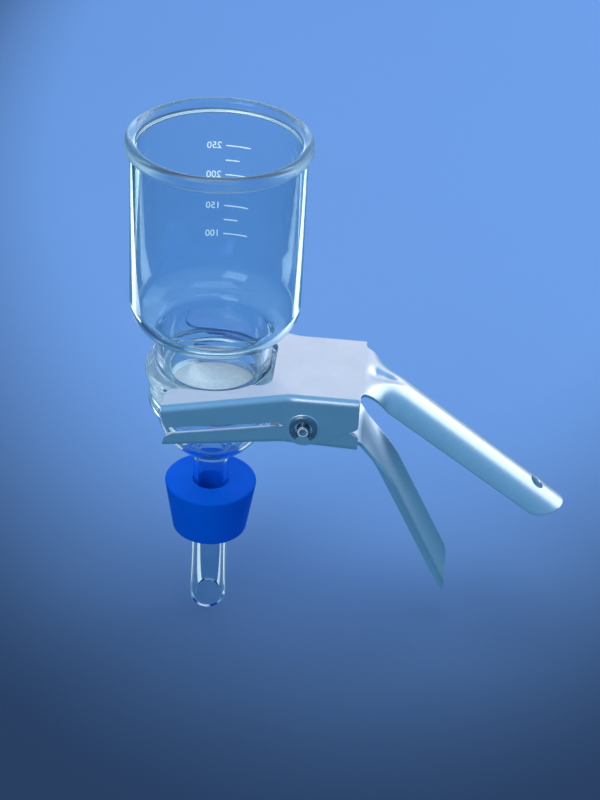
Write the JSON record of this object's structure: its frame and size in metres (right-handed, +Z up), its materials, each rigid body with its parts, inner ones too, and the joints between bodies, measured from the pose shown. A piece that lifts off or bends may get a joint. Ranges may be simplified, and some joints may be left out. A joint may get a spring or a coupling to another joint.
{
  "type": "vacuum filtration unit",
  "caption": "Glass vacuum filtration unit: graduated funnel on a fritted glass base, held by a sprung sheet-metal clamp, with a one-hole stopper on its stem.",
  "frame": {"origin": "on the glass axis, halfway up the stopper, where a flask's mouth grips it", "axes": "+Z up the glass axis towards the funnel's mouth; +X towards the clamp's pivot and handles; +Y completes a right-handed frame, and the scale is on that side"},
  "size_m": [0.1953, 0.0856, 0.2366],
  "materials": {
    "clear_glass": "clear, fire polished, with ground joint faces",
    "sintered_glass": "white, porous",
    "blue_silicone": "moulded, semi-matt",
    "satin_aluminium": "pressed sheet, satin anodised",
    "bright_steel": "bright drawn",
    "dark_spring_steel": "oiled spring steel"
  },
  "bodies": {
    "unit": {"funnel": "clear_glass", "filter_base": "clear_glass", "fritted_disc": "sintered_glass", "stopper": "blue_silicone", "upper_jaw": "satin_aluminium", "pivot_pin": "bright_steel", "retaining_clip_near": "dark_spring_steel", "retaining_clip_far": "dark_spring_steel", "torsion_spring": "bright_steel"},
    "sprung_jaw": {"lower_jaw": "satin_aluminium"}
  },
  "joints": [
    {"name": "jaw_hinge", "type": "hinge", "parent": "unit", "child": "sprung_jaw", "pos_m": [0.0416, 0, 0.0608], "axis": [0, -1, 0], "range_deg": [0, 24], "stiffness_Nm_per_rad": 1, "springref_deg": -51.57, "deforming": ["torsion_spring"]}
  ]
}
